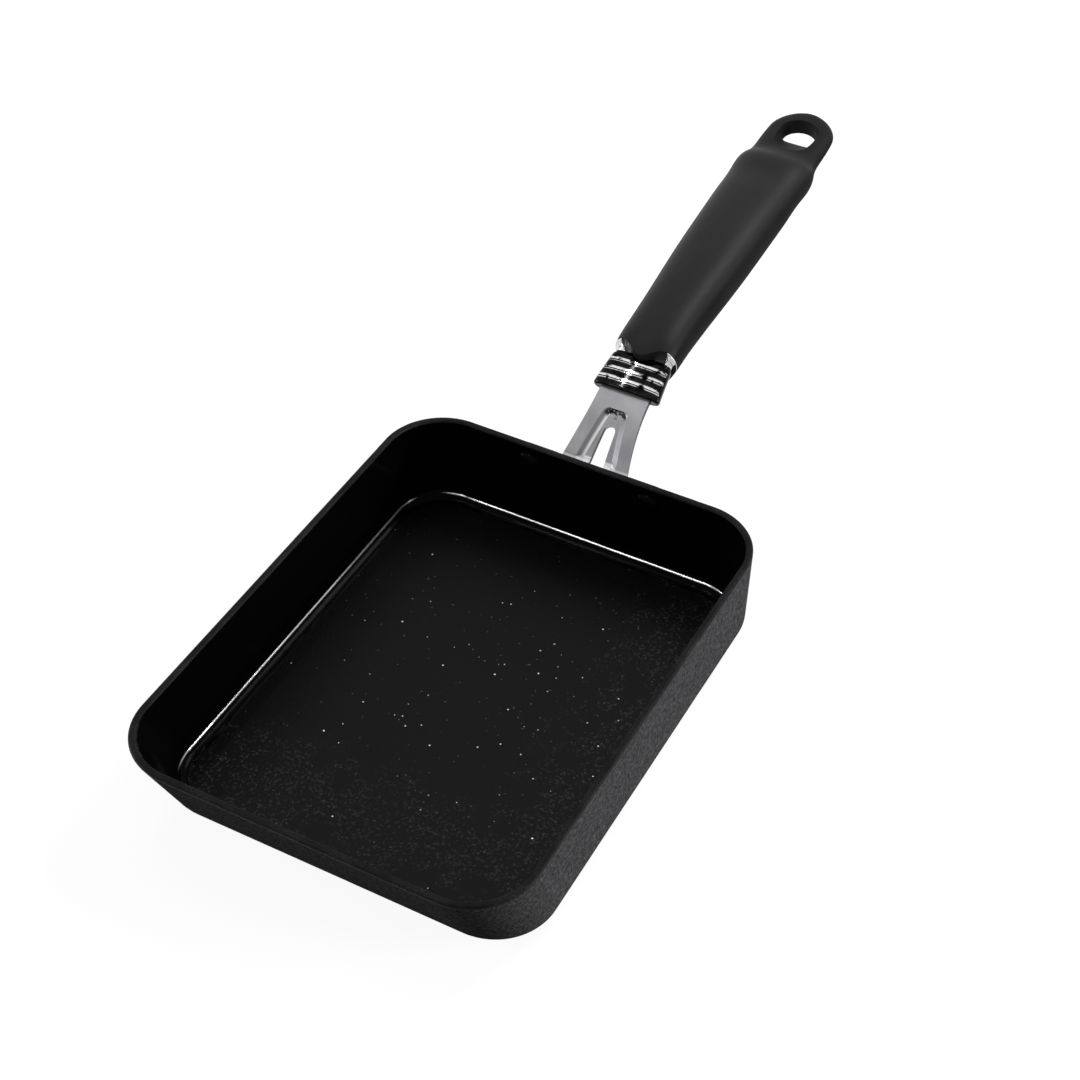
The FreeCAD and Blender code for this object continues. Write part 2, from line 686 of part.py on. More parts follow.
def screw_room():
    """Counterbore, screw hole and the channel along which the nut slides in on the tang."""
    top = SHEET / 2 + NUT_THICKNESS + SCREW_TIP_PROUD + SHEET_CLEARANCE
    nut_width = NUT_ACROSS_FLATS + 2 * SHEET_CLEARANCE
    corner = Vector(-nut_width / 2, -SCREW_PLACE, 0)
    channel = Part.makeBox(nut_width, SCREW_PLACE + nut_width / 2, top, corner)
    hole = Part.makeCylinder(SCREW_RADIUS + SCREW_HOLE_CLEARANCE, OVERCUT, Vector(0, 0, -OVERCUT))
    bore_radius = FLAT_WASHER_RADIUS + HEAD_CLEARANCE
    bore = Part.makeCylinder(bore_radius, OVERCUT, Vector(0, 0, SEAT_LEVEL - OVERCUT))
    return channel.fuse([hole, bore]).transformed(handle_place(SCREW_PLACE).toMatrix())


def collar_room():
    """Outside of the collar without its ribs, with room for the tongue to lie over it."""
    sections = []
    height = COLLAR_HEIGHT + 2 * TONGUE_CLEARANCE
    for distance in (COLLAR_START, COLLAR_END + TONGUE_CLEARANCE):
        width = collar_width(distance) + 2 * TONGUE_CLEARANCE
        sections.append(section_wire(distance, width, height, COLLAR_FULLNESS))
    return Part.makeLoft(sections, True, True)


def make_handle_grip():
    sleeve = sleeve_solid(GRIP_NOSE - SLEEVE_SETBACK, SLEEVE_END + SLEEVE_CLEARANCE, SLEEVE_CLEARANCE)
    grip = grip_blank().cut([front_trim(), collar_room(), sleeve])
    return grip.cut([tang_room(SHEET_CLEARANCE), screw_room(), hanging_hole()])


# Screw, washers and nut: local Z is square to the tang, upwards from its middle

SEAT_LEVEL = -SHEET / 2 - SHEET_CLEARANCE - SEAT_WALL
SPRING_LEVEL = SEAT_LEVEL - FLAT_WASHER_THICKNESS
HEAD_LEVEL = SPRING_LEVEL - SPRING_WASHER_THICKNESS


def at_screw(shape):
    return shape.transformed(handle_place(SCREW_PLACE).toMatrix())


def washer(radius, thickness, top):
    ring = Part.makeCylinder(radius, thickness, Vector(0, 0, top - thickness))
    hole_radius = SCREW_RADIUS + SCREW_HOLE_CLEARANCE
    return ring.cut(Part.makeCylinder(hole_radius, thickness, Vector(0, 0, top - thickness)))


def make_flat_washer():
    return at_screw(washer(FLAT_WASHER_RADIUS, FLAT_WASHER_THICKNESS, SEAT_LEVEL))


def make_spring_washer():
    ring = washer(SPRING_WASHER_RADIUS, SPRING_WASHER_THICKNESS, SPRING_LEVEL)
    slit = Part.makeBox(
        SPRING_WASHER_RADIUS + HEAD_CLEARANCE, SPRING_WASHER_SLIT, OVERCUT,
        Vector(0, -SPRING_WASHER_SLIT / 2, SPRING_LEVEL - OVERCUT),
    )
    return at_screw(ring.cut(slit))


def make_grip_screw():
    low = HEAD_LEVEL - SCREW_HEAD_HEIGHT
    tip = SHEET / 2 + NUT_THICKNESS + SCREW_TIP_PROUD
    head = Part.makeCylinder(SCREW_HEAD_RADIUS, SCREW_HEAD_HEIGHT, Vector(0, 0, low))
    head = head.makeFillet(SCREW_HEAD_HEIGHT / 2, edges_at_height(head, low))
    screw = head.fuse(Part.makeCylinder(SCREW_RADIUS, tip - HEAD_LEVEL, Vector(0, 0, HEAD_LEVEL)))
    arm = (CROSS_RECESS_LENGTH, CROSS_RECESS_WIDTH)
    for length, width in (arm, arm[::-1]):
        corner = Vector(-length / 2, -width / 2, low)
        screw = screw.cut(Part.makeBox(length, width, CROSS_RECESS_DEPTH, corner))
    return at_screw(screw)


def make_tang_nut():
    half = NUT_ACROSS_FLATS / 2
    corner = Vector(-half, -half, SHEET / 2)
    nut = Part.makeBox(NUT_ACROSS_FLATS, NUT_ACROSS_FLATS, NUT_THICKNESS, corner)
    hole = Part.makeCylinder(SCREW_RADIUS + THREAD_CLEARANCE, NUT_THICKNESS, Vector(0, 0, SHEET / 2))
    return at_screw(nut.cut(hole))


def main():
    os.makedirs("parts", exist_ok=True)
    nodes = {
        "pan_body": make_pan_body(),
        "bracket_rivets": make_bracket_rivets(),
        "handle_bracket": make_handle_bracket(),
        "flame_guard": make_flame_guard(),
        "handle_grip": make_handle_grip(),
        "flat_washer": make_flat_washer(),
        "spring_washer": make_spring_washer(),
        "grip_screw": make_grip_screw(),
        "tang_nut": make_tang_nut(),
    }
    for name, shape in nodes.items():
        shape.exportStep("parts/" + name + ".step")
        print(name, shape.isValid(), len(shape.Solids), round(shape.Volume, 1))


main()
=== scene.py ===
import json
import math

import bpy
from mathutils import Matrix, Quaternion, Vector

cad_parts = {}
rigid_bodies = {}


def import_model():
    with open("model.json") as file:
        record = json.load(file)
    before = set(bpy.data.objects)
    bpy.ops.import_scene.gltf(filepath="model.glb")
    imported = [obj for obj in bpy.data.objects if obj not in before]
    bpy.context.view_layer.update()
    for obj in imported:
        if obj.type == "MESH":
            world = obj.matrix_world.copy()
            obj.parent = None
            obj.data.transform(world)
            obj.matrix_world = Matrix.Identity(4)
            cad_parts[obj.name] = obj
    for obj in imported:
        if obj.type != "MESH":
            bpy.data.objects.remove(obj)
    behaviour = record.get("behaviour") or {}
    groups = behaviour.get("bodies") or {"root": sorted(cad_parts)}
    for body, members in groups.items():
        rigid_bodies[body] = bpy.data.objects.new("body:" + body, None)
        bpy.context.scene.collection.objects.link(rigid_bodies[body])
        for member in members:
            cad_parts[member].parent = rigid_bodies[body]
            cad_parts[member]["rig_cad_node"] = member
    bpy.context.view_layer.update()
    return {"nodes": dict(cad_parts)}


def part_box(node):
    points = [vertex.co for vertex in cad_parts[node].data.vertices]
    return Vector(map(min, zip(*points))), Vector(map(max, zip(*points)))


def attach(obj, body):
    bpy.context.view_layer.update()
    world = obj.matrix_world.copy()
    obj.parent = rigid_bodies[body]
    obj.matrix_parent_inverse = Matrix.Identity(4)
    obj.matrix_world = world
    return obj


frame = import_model()
nodes = frame["nodes"]


# Pan body
# One aluminium blank pressed into a rectangular tub with a laid-back front wall, then sprayed.
# Inside is a glossy black non-stick coat with pale stone flecks, outside a dry dark coat with a sandy grain.

NOISE_RANGE = (0.25, 0.75)
COAT_BLACK = (0.0030, 0.0030, 0.0032, 1.0)
COAT_MOTTLE = (0.036, 0.036, 0.037, 1.0)
COAT_ROUGHNESS = (0.32, 0.42)
COAT_RELIEF = 0.00004
FLECK_PALE = (0.85, 0.85, 0.83, 1.0)
FLECK_GREY = (0.16, 0.16, 0.16, 1.0)
FLECK_DIM = (0.066, 0.066, 0.067, 1.0)
FLECK_WOBBLES_PER_METRE = 2600.0
FLECK_RAGGEDNESS = (0.4, 1.6)
FLECK_SIZES = (0.4, 1.0)
FLECK_EDGE = (1.0, 0.5)
FLECK_SPARKLE = 0.6
FLECK_CENTRE = (0.012, 0.002, 0.0)
FLECK_REACH = 0.070
FLECK_CORE = 0.021
PALE_SHARE = (0.06, 0.80)
GREY_SHARE = (0.15, 0.55)
DIM_SHARE = (0.04, 0.40)
MOTTLE_FRONT = -0.020
MOTTLE_RIGHT = 0.018
MOTTLE_FADE = 0.040
MOTTLE_CLOUDS = (0.05, 0.40)
MOTTLE_BLOTS = (0.58, 0.95)
WALL_BLACK = (0.0012, 0.0012, 0.0013, 1.0)
WALL_ROUGHNESS = (0.15, 0.20)
STRAIGHT_FACING = (0.66, 0.75)
BEND_RADIUS = 0.005
# Painted highlight: colour and place of the bright metallic line along the bend from the walls to the floor.
PAINTED_HIGHLIGHT = (0.66, 0.66, 0.66, 1.0)
PAINTED_HIGHLIGHT_SLOPE = 50.0
PAINTED_HIGHLIGHT_WIDTH = 0.00034
PAINTED_HIGHLIGHT_CORE = 0.000068
PAINTED_HIGHLIGHT_TAIL = 0.06
PAINTED_HIGHLIGHT_PATCHES = (0.55, 1.0)
SAND_DARK = (0.032, 0.032, 0.034, 1.0)
SAND_LIGHT = (0.128, 0.128, 0.132, 1.0)
SAND_COARSENESS = (0.35, 1.0)
SAND_ROUGHNESS = (0.62, 0.80)
SAND_RELIEF = 0.00012
RIM_DARK = (0.004, 0.004, 0.005, 1.0)
RIM_WORN = (0.026, 0.026, 0.027, 1.0)
RIM_ROUGHNESS = (0.34, 0.48)
RIM_RELIEF = 0.00003
RIM_BAND = 0.0011
LEVEL = 0.995
OVERHANG = -0.02
STEEP = 0.5


def add_node(tree, kind, sockets=None, **settings):
    """Adds a shader node; sockets holds values, or other nodes' outputs to link."""
    node = tree.nodes.new(kind)
    for name, value in settings.items():
        setattr(node, name, value)
    for name, value in (sockets or {}).items():
        if isinstance(value, bpy.types.NodeSocket):
            tree.links.new(value, node.inputs[name])
        else:
            node.inputs[name].default_value = value
    return node


def calculate(tree, operation, first, second=0.0):
    """One step of arithmetic on values or outputs."""
    return add_node(tree, "ShaderNodeMath", {0: first, 1: second}, operation=operation).outputs[0]


def product(tree, first, *others):
    """Product of two or more values or outputs."""
    for other in others:
        first = calculate(tree, "MULTIPLY", first, other)
    return first


def measure(tree, operation, first, second):
    """Number worked out from two vectors, such as the distance between two places."""
    return add_node(tree, "ShaderNodeVectorMath", {0: first, 1: second}, operation=operation).outputs["Value"]


def mask_between(tree, value, low, high):
    """Smooth mask that is 0 at low and 1 at high."""
    sockets = {"Value": value, "From Min": low, "From Max": high}
    return add_node(tree, "ShaderNodeMapRange", sockets, interpolation_type="SMOOTHSTEP").outputs[0]


def value_between(tree, mask, low, high):
    """Value that runs from low to high as the mask runs from 0 to 1."""
    return add_node(tree, "ShaderNodeMapRange", {"Value": mask, "To Min": low, "To Max": high}).outputs[0]


def blend_colours(tree, mask, first, second):
    """Colour that goes from first to second as the mask goes from 0 to 1."""
    mix = add_node(tree, "ShaderNodeMix", {0: mask, 6: first, 7: second}, data_type="RGBA")
    return mix.outputs[2]


def parts_of(tree, vector):
    """X, Y and Z outputs of a vector."""
    return add_node(tree, "ShaderNodeSeparateXYZ", {0: vector}).outputs


def surface(tree, name):
    """Texture coordinate of the surface: Object for the place, Normal for the way that it faces."""
    return add_node(tree, "ShaderNodeTexCoord").outputs[name]


def start_group(name, inputs, outputs):
    """Empty node group with number sockets; returns its tree, its input node and its output node."""
    tree = bpy.data.node_groups.new(name, "ShaderNodeTree")
    for way, sockets in (("INPUT", inputs), ("OUTPUT", outputs)):
        for socket in sockets:
            tree.interface.new_socket(socket, in_out=way, socket_type="NodeSocketFloat")
    return tree, add_node(tree, "NodeGroupInput"), add_node(tree, "NodeGroupOutput")


def place_group(tree, group, **sockets):
    """Puts a node group into a material and returns its outputs."""
    return add_node(tree, "ShaderNodeGroup", sockets, node_tree=group).outputs


def fleck_group():
    """Scattered specks: one in a share of the cells of a jittered grid, each of its own size."""
    tree, given, made = start_group("flecks", ("Spacing", "Size", "Share"), ("Mask",))
    place = surface(tree, "Object")
    scale = calculate(tree, "DIVIDE", 1.0, given.outputs["Spacing"])
    cells = add_node(tree, "ShaderNodeTexVoronoi", {"Vector": place, "Scale": scale})
    wobble_sockets = {"Vector": place, "Scale": FLECK_WOBBLES_PER_METRE}
    wobble = add_node(tree, "ShaderNodeTexNoise", wobble_sockets).outputs[0]
    reach = product(tree, cells.outputs["Distance"], value_between(tree, wobble, *FLECK_RAGGEDNESS))
    random = add_node(tree, "ShaderNodeSeparateColor", {0: cells.outputs["Color"]}).outputs
    chosen = calculate(tree, "LESS_THAN", random[0], given.outputs["Share"])
    size = calculate(tree, "DIVIDE", given.outputs["Size"], given.outputs["Spacing"])
    size = product(tree, size, value_between(tree, random[1], *FLECK_SIZES))
    shape = mask_between(tree, calculate(tree, "DIVIDE", reach, size), *FLECK_EDGE)
    tree.links.new(product(tree, shape, chosen), made.inputs["Mask"])
    return tree


def grain_group():
    """Fine even grain with slow clouds under it, as sprayed and moulded surfaces have."""
    tree, given, made = start_group("grain", ("Grain", "Clouds"), ("Fine", "Slow"))
    place = surface(tree, "Object")
    for size, result, detail in (("Grain", "Fine", 3.0), ("Clouds", "Slow", 2.0)):
        scale = calculate(tree, "DIVIDE", 1.0, given.outputs[size])
        noise = add_node(tree, "ShaderNodeTexNoise", {"Vector": place, "Scale": scale, "Detail": detail})
        tree.links.new(mask_between(tree, noise.outputs[0], *NOISE_RANGE), made.inputs[result])
    return tree


FLECKS = fleck_group()
GRAIN = grain_group()


def new_material(name, **constants):
    """Material with a Principled shader whose unchanging sockets are set on it directly."""
    material = bpy.data.materials.new(name)
    material.use_nodes = True
    shader = material.node_tree.nodes["Principled BSDF"]
    for socket, value in constants.items():
        shader.inputs[socket.replace("_", " ")].default_value = value
    return material, material.node_tree, shader


def link_all(tree, shader, **sockets):
    """Links outputs to the shader's sockets of the same names."""
    for socket, output in sockets.items():
        tree.links.new(output, shader.inputs[socket.replace("_", " ")])


def bumps(tree, height, distance):
    """Normal that follows a height, which is 1 at the given distance above the surface."""
    return add_node(tree, "ShaderNodeBump", {"Height": height, "Distance": distance}).outputs["Normal"]


def floor_coat():
    """Coat of the flat floor: pale flecks gather near its middle, dull mottles at its front and right."""
    material, tree, shader = new_material("floor_coat", Specular_IOR_Level=0.085)
    grain = place_group(tree, GRAIN, Grain=0.0008, Clouds=0.009)
    place = surface(tree, "Object")
    gathered = mask_between(tree, measure(tree, "DISTANCE", place, FLECK_CENTRE), FLECK_REACH, FLECK_CORE)
    pale_share = value_between(tree, gathered, *PALE_SHARE)
    pale = place_group(tree, FLECKS, Spacing=0.0037, Size=0.00044, Share=pale_share)["Mask"]
    grey_share = value_between(tree, gathered, *GREY_SHARE)
    grey = place_group(tree, FLECKS, Spacing=0.0028, Size=0.00038, Share=grey_share)["Mask"]
    along = parts_of(tree, place)
    near_front = mask_between(tree, along["Y"], MOTTLE_FRONT, MOTTLE_FRONT - MOTTLE_FADE)
    near_right = mask_between(tree, along["X"], MOTTLE_RIGHT, MOTTLE_RIGHT + MOTTLE_FADE)
    clouds = product(tree, grain["Slow"], calculate(tree, "MAXIMUM", near_front, near_right))
    dim_share = value_between(tree, clouds, *DIM_SHARE)
    dim = place_group(tree, FLECKS, Spacing=0.0014, Size=0.00050, Share=dim_share)["Mask"]
    blots = place_group(tree, GRAIN, Grain=0.0011, Clouds=0.012)["Fine"]
    clouded = mask_between(tree, clouds, *MOTTLE_CLOUDS)
    mottle = product(tree, clouded, mask_between(tree, blots, *MOTTLE_BLOTS))
    colour = blend_colours(tree, mottle, COAT_BLACK, COAT_MOTTLE)
    for mask, fleck in ((dim, FLECK_DIM), (grey, FLECK_GREY), (pale, FLECK_PALE)):
        colour = blend_colours(tree, mask, colour, fleck)
    link_all(
        tree, shader,
        Base_Color=colour,
        Metallic=product(tree, pale, FLECK_SPARKLE),
        Roughness=value_between(tree, grain["Fine"], *COAT_ROUGHNESS),
        Normal=bumps(tree, grain["Fine"], COAT_RELIEF),
    )
    return material


def wall_coat(floor_level):
    """Glossy coat of the walls, with a painted highlight line along the straight runs of the bend to the
    floor.
    """
    material, tree, shader = new_material("wall_coat", Specular_IOR_Level=0.02)
    clouds = place_group(tree, GRAIN, Grain=0.0009, Clouds=0.020)["Slow"]
    facing = parts_of(tree, surface(tree, "Normal"))
    sideways = calculate(tree, "ABSOLUTE", facing["X"])
    lengthways = calculate(tree, "ABSOLUTE", facing["Y"])
    straight = mask_between(tree, calculate(tree, "MAXIMUM", sideways, lengthways), *STRAIGHT_FACING)
    height = calculate(tree, "SUBTRACT", parts_of(tree, surface(tree, "Object"))["Z"], floor_level)
    # Painted highlight: a bright metallic line in the middle of the bend to the floor, with a faint tail
    # below it, only on the straight runs and broken into patches.
    middle = BEND_RADIUS * (1 - math.cos(math.radians(PAINTED_HIGHLIGHT_SLOPE)))
    off_middle = calculate(tree, "ABSOLUTE", calculate(tree, "SUBTRACT", height, middle))
    line = mask_between(tree, off_middle, PAINTED_HIGHLIGHT_WIDTH, PAINTED_HIGHLIGHT_CORE)
    below_middle = calculate(tree, "LESS_THAN", height, middle)
    tail = product(tree, mask_between(tree, height, 0.0, middle), PAINTED_HIGHLIGHT_TAIL, below_middle)
    line = calculate(tree, "MAXIMUM", line, tail)
    line = product(tree, line, straight, value_between(tree, clouds, *PAINTED_HIGHLIGHT_PATCHES))
    link_all(
        tree, shader,
        Base_Color=blend_colours(tree, line, WALL_BLACK, PAINTED_HIGHLIGHT),
        Metallic=line,
        Roughness=value_between(tree, clouds, *WALL_ROUGHNESS),
    )
    return material


def sandy_coat():
    """Dry dark coat with a coarse sprayed grain."""
    material, tree, shader = new_material("sandy_coat", Specular_IOR_Level=0.0)
    coarse = place_group(tree, GRAIN, Grain=0.0017, Clouds=0.030)
    fine = place_group(tree, GRAIN, Grain=0.0009, Clouds=0.008)
    sand = product(tree, value_between(tree, coarse["Fine"], *SAND_COARSENESS), fine["Fine"])
    link_all(
        tree, shader,
        Base_Color=blend_colours(tree, sand, SAND_DARK, SAND_LIGHT),
        Roughness=value_between(tree, coarse["Slow"], *SAND_ROUGHNESS),
        Normal=bumps(tree, sand, SAND_RELIEF),
    )
    return material


def rim_coat():
    """Rim, rubbed a little greyer along its edge."""
    material, tree, shader = new_material("rim_coat", Specular_IOR_Level=0.06)
    grain = place_group(tree, GRAIN, Grain=0.0006, Clouds=0.012)
    worn = product(tree, grain["Fine"], grain["Slow"])
    link_all(
        tree, shader,
        Base_Color=blend_colours(tree, worn, RIM_DARK, RIM_WORN),
        Roughness=value_between(tree, grain["Fine"], *RIM_ROUGHNESS),
        Normal=bumps(tree, grain["Fine"], RIM_RELIEF),
    )
    return material


def dress(node, *materials):
    """Gives a node its materials; a face takes the first one until it is given another."""
    node.data.materials.clear()
    for material in materials:
        node.data.materials.append(material)


pan = nodes["pan_body"]
pan_walls = wall_coat(min(face.center.z for face in pan.data.polygons if face.normal.z > LEVEL))
pan_coats = {"wall": pan_walls, "floor": floor_coat(), "outside": sandy_coat(), "rim": rim_coat()}
dress(pan, *pan_coats.values())
coat_index = {name: index for index, name in enumerate(pan_coats)}
rim_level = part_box("pan_body")[1].z - RIM_BAND
for face in pan.data.polygons:
    outward = face.normal.x * face.center.x + face.normal.y * face.center.y
    coat = "wall"
    if face.center.z > rim_level:
        coat = "rim"
    elif face.normal.z > LEVEL:
        coat = "floor"
    elif face.normal.z < OVERHANG or (outward > 0 and face.normal.z < STEEP):
        coat = "outside"
    face.material_index = coat_index[coat]


# Handle bracket
# One strip of stainless sheet, pressed with a channel and a slot and bent up from its flange,
# which is riveted to the back wall.
# Its satin finish has fine lines along the arm, and its sheared edges are dark.

STEEL_DARK = (0.19, 0.19, 0.20, 1.0)
STEEL_LIGHT = (0.27, 0.27, 0.28, 1.0)
# Painted shade and painted highlight colours for the channel's left wall and the foot of the arm.
STEEL_PAINTED_SHADE = (0.155, 0.155, 0.160, 1.0)
STEEL_PAINTED_HIGHLIGHT = (0.58, 0.58, 0.59, 1.0)
STEEL_ROUGHNESS = (0.36, 0.48)
STEEL_RELIEF = 0.000006
STEEL_CLOUDS_PER_METRE = 90.0
LINE_CONTRAST = (0.5, 1.0)
SIDE_VIEW = (0.0, 1.0, 1.0)
ARM_CENTRE = (0.0, 0.15935, -0.02957)
ARM_TOP = 0.0875
CHANNEL_DEPTH = 0.0014
CHANNEL_END = 0.1155
CHANNEL_LIMIT = 1.1 * CHANNEL_DEPTH
LEFT_WALL_FACING = (0.25, 0.45)
LEFT_WALL_FOOT = (0.45 * CHANNEL_DEPTH, 0.85 * CHANNEL_DEPTH)
# Painted shade in blots on the channel's end wall.
PAINTED_END_SHADE = (0.012, 0.012, 0.013, 1.0)
END_SHADE_PLACE = (CHANNEL_END - 0.0030, CHANNEL_END - 0.0016)
END_SHADE_DEPTH = (0.15 * CHANNEL_DEPTH, 0.35 * CHANNEL_DEPTH)
END_SHADE_BLOTS = (0.30, 0.55)
BEND_TOP = 0.0338
BEND_FADE = 0.0006
SHEARED = (0.030, 0.030, 0.032, 1.0)
SHEARED_FACING = (0.90, 0.98)


def brushed_group():
    """Fine parallel lines along Y, with slow changes over them."""
    tree, given, made = start_group("brushed", ("Line", "Length"), ("Lines", "Slow"))
    place = surface(tree, "Object")
    across = calculate(tree, "DIVIDE", 1.0, given.outputs["Line"])
    along = calculate(tree, "DIVIDE", 1.0, given.outputs["Length"])
    scale = add_node(tree, "ShaderNodeCombineXYZ", {0: across, 1: along, 2: along}).outputs[0]
    drawn = add_node(tree, "ShaderNodeVectorMath", {0: place, 1: scale}, operation="MULTIPLY").outputs[0]
    for vector, size, result in ((drawn, 1.0, "Lines"), (place, STEEL_CLOUDS_PER_METRE, "Slow")):
        noise = add_node(tree, "ShaderNodeTexNoise", {"Vector": vector, "Scale": size, "Detail": 3.0})
        tree.links.new(mask_between(tree, noise.outputs[0], *NOISE_RANGE), made.inputs[result])
    return tree


BRUSHED = brushed_group()


def depth_in_channel(tree):
    """Depth below the arm's upper face, which is part of a cylinder."""
    sockets = {0: surface(tree, "Object"), 1: SIDE_VIEW}
    in_side_view = add_node(tree, "ShaderNodeVectorMath", sockets, operation="MULTIPLY").outputs[0]
    return calculate(tree, "SUBTRACT", ARM_TOP, measure(tree, "DISTANCE", in_side_view, ARM_CENTRE))


def satin_steel():
    """Satin sheet with dark sheared edges, painted shade and painted highlights on the bends, and painted
    shade at the channel's end.
    """
    material, tree, shader = new_material("satin_steel", Metallic=1.0)
    brushed = place_group(tree, BRUSHED, Line=0.00022, Length=0.012)
    tone = product(tree, value_between(tree, brushed["Lines"], *LINE_CONTRAST), brushed["Slow"])
    place = parts_of(tree, surface(tree, "Object"))
    across = parts_of(tree, surface(tree, "Normal"))["X"]
    depth = depth_in_channel(tree)
    in_channel = calculate(tree, "LESS_THAN", depth, CHANNEL_LIMIT)
    # Painted shade on the channel's left wall, and painted highlights at its foot and along the foot of the
    # arm above the rim.
    left_wall = product(tree, mask_between(tree, across, *LEFT_WALL_FACING), in_channel)
    left_foot = product(tree, left_wall, mask_between(tree, depth, *LEFT_WALL_FOOT))
    arm_foot = mask_between(tree, place["Z"], BEND_TOP, BEND_TOP - BEND_FADE)
    painted_highlight = calculate(tree, "MAXIMUM", left_foot, arm_foot)
    blots = place_group(tree, GRAIN, Grain=0.0016, Clouds=0.0022)["Slow"]
    # Painted shade in blots at the channel's end, where its end wall lies in shade.
    at_end = product(tree, mask_between(tree, place["Y"], *END_SHADE_PLACE), in_channel)
    pressed = mask_between(tree, depth, *END_SHADE_DEPTH)
    painted_end_shade = product(tree, at_end, pressed, mask_between(tree, blots, *END_SHADE_BLOTS))
    edge = mask_between(tree, calculate(tree, "ABSOLUTE", across), *SHEARED_FACING)
    colour = blend_colours(tree, tone, STEEL_DARK, STEEL_LIGHT)
    finishes = ((left_wall, STEEL_PAINTED_SHADE), (painted_highlight, STEEL_PAINTED_HIGHLIGHT), (painted_end_shade, PAINTED_END_SHADE), (edge, SHEARED))
    for mask, finish in finishes:
        colour = blend_colours(tree, mask, colour, finish)
    link_all(
        tree, shader,
        Base_Color=colour,
        Roughness=value_between(tree, brushed["Lines"], *STEEL_ROUGHNESS),
        Normal=bumps(tree, brushed["Lines"], STEEL_RELIEF),
    )
    return material


dress(nodes["handle_bracket"], satin_steel())


# Rivets
# Two aluminium rivets through the back wall and the flange, headed before the inside was sprayed,
# so that their low inner heads carry the same black coat as the wall.

RIVET_METAL = (0.45, 0.45, 0.46, 1.0)
RIVET_DULL = (0.30, 0.30, 0.31, 1.0)
RIVET_ROUGHNESS = (0.30, 0.48)
RIVET_RELIEF = 0.00002


def bare_rivet():
    """Aluminium as it came from the rivet set."""
    material, tree, shader = new_material("bare_rivet", Metallic=1.0)
    grain = place_group(tree, GRAIN, Grain=0.0006, Clouds=0.004)
    link_all(
        tree, shader,
        Base_Color=blend_colours(tree, grain["Slow"], RIVET_DULL, RIVET_METAL),
        Roughness=value_between(tree, grain["Fine"], *RIVET_ROUGHNESS),
        Normal=bumps(tree, grain["Fine"], RIVET_RELIEF),
    )
    return material


rivets = nodes["bracket_rivets"]
dress(rivets, bare_rivet(), pan_walls)
inner_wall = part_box("handle_bracket")[0].y
for face in rivets.data.polygons:
    face.material_index = 1 if face.center.y < inner_wall else 0


# Flame guard
# Metal ferrule pushed over the arm's neck, with dark polished plating and painted highlights on its three
# ribs.
# Its smooth bright sleeve goes on into the grip and shows in the notches beside the grip's tongue.

GUARD_DARK = (0.004, 0.004, 0.004, 1.0)
GUARD_SHEEN = (0.016, 0.016, 0.017, 1.0)
# Colour of the bright sleeve metal, also used for the painted highlights on the ribs.
GUARD_BRIGHT_AND_HIGHLIGHT = (0.78, 0.78, 0.79, 1.0)
GUARD_ROUGHNESS = (0.03, 0.07)
GUARD_SLOPE = 20.0
RIB_COUNT = 3
RIB_FIRST = 0.13374
RIB_PITCH = 0.00386
RIB_CREST = 0.00075
RIB_FADE = (1.4 * RIB_CREST, 0.7 * RIB_CREST)
RIB_FACING = (0.55, 0.80)
RIB_HIGHLIGHT_PATCHES = (0.20, 0.55)
RIBS_LENGTH = (RIB_COUNT - 0.5) * RIB_PITCH
SLEEVE_START = 0.1455


def plated_guard():
    """Dark plating with painted highlights on the ribs and a bright sleeve, both found by their distance
    along the guard's own line.
    """
    material, tree, shader = new_material("plated_guard", Metallic=1.0)
    grain = place_group(tree, GRAIN, Grain=0.0009, Clouds=0.0030)
    slope = math.radians(GUARD_SLOPE)
    guard_line = (0.0, math.cos(slope), math.sin(slope))
    along = measure(tree, "DOT_PRODUCT", surface(tree, "Object"), guard_line)
    from_first = calculate(tree, "SUBTRACT", along, RIB_FIRST)
    to_rib = calculate(tree, "PINGPONG", from_first, RIB_PITCH / 2)
    upward = calculate(tree, "ABSOLUTE", parts_of(tree, surface(tree, "Normal"))["Z"])
    # Painted highlights on the upward-facing crests of the ribs, broken into patches.
    ribs = product(
        tree,
        mask_between(tree, to_rib, *RIB_FADE),
        mask_between(tree, upward, *RIB_FACING),
        mask_between(tree, grain["Slow"], *RIB_HIGHLIGHT_PATCHES),
        calculate(tree, "LESS_THAN", from_first, RIBS_LENGTH),
    )
    sleeve = calculate(tree, "GREATER_THAN", along, SLEEVE_START)
    colour = blend_colours(tree, grain["Slow"], GUARD_DARK, GUARD_SHEEN)
    link_all(
        tree, shader,
        Base_Color=blend_colours(tree, calculate(tree, "MAXIMUM", ribs, sleeve), colour, GUARD_BRIGHT_AND_HIGHLIGHT),
        Roughness=value_between(tree, grain["Fine"], *GUARD_ROUGHNESS),
    )
    return material


dress(nodes["flame_guard"], plated_guard())


# Guard face
# Thin bright plate of the flame guard, which closes the grip's mouth round the sleeve.
# It shows in the notches on both sides of the grip's tongue.

FACE_SLOPE = 14.731
FACE_DISTANCE = 0.14659
FACE_THICKNESS = 0.0003
FACE_TOLERANCE = 0.0001
FACE_ALIGNMENT = 0.995
MERGE_DISTANCE = 0.000001
FACE_BRIGHT = (0.80, 0.80, 0.81, 1.0)
FACE_CLOUD = (0.62, 0.62, 0.63, 1.0)
FACE_ROUGHNESS = (0.14, 0.26)


def bright_plate():
    """Polished plating with faint clouds."""
    material, tree, shader = new_material("bright_plate", Metallic=1.0)
    grain = place_group(tree, GRAIN, Grain=0.0009, Clouds=0.0030)
    link_all(
        tree, shader,
        Base_Color=blend_colours(tree, grain["Slow"], FACE_CLOUD, FACE_BRIGHT),
        Roughness=value_between(tree, grain["Fine"], *FACE_ROUGHNESS),
    )
    return material


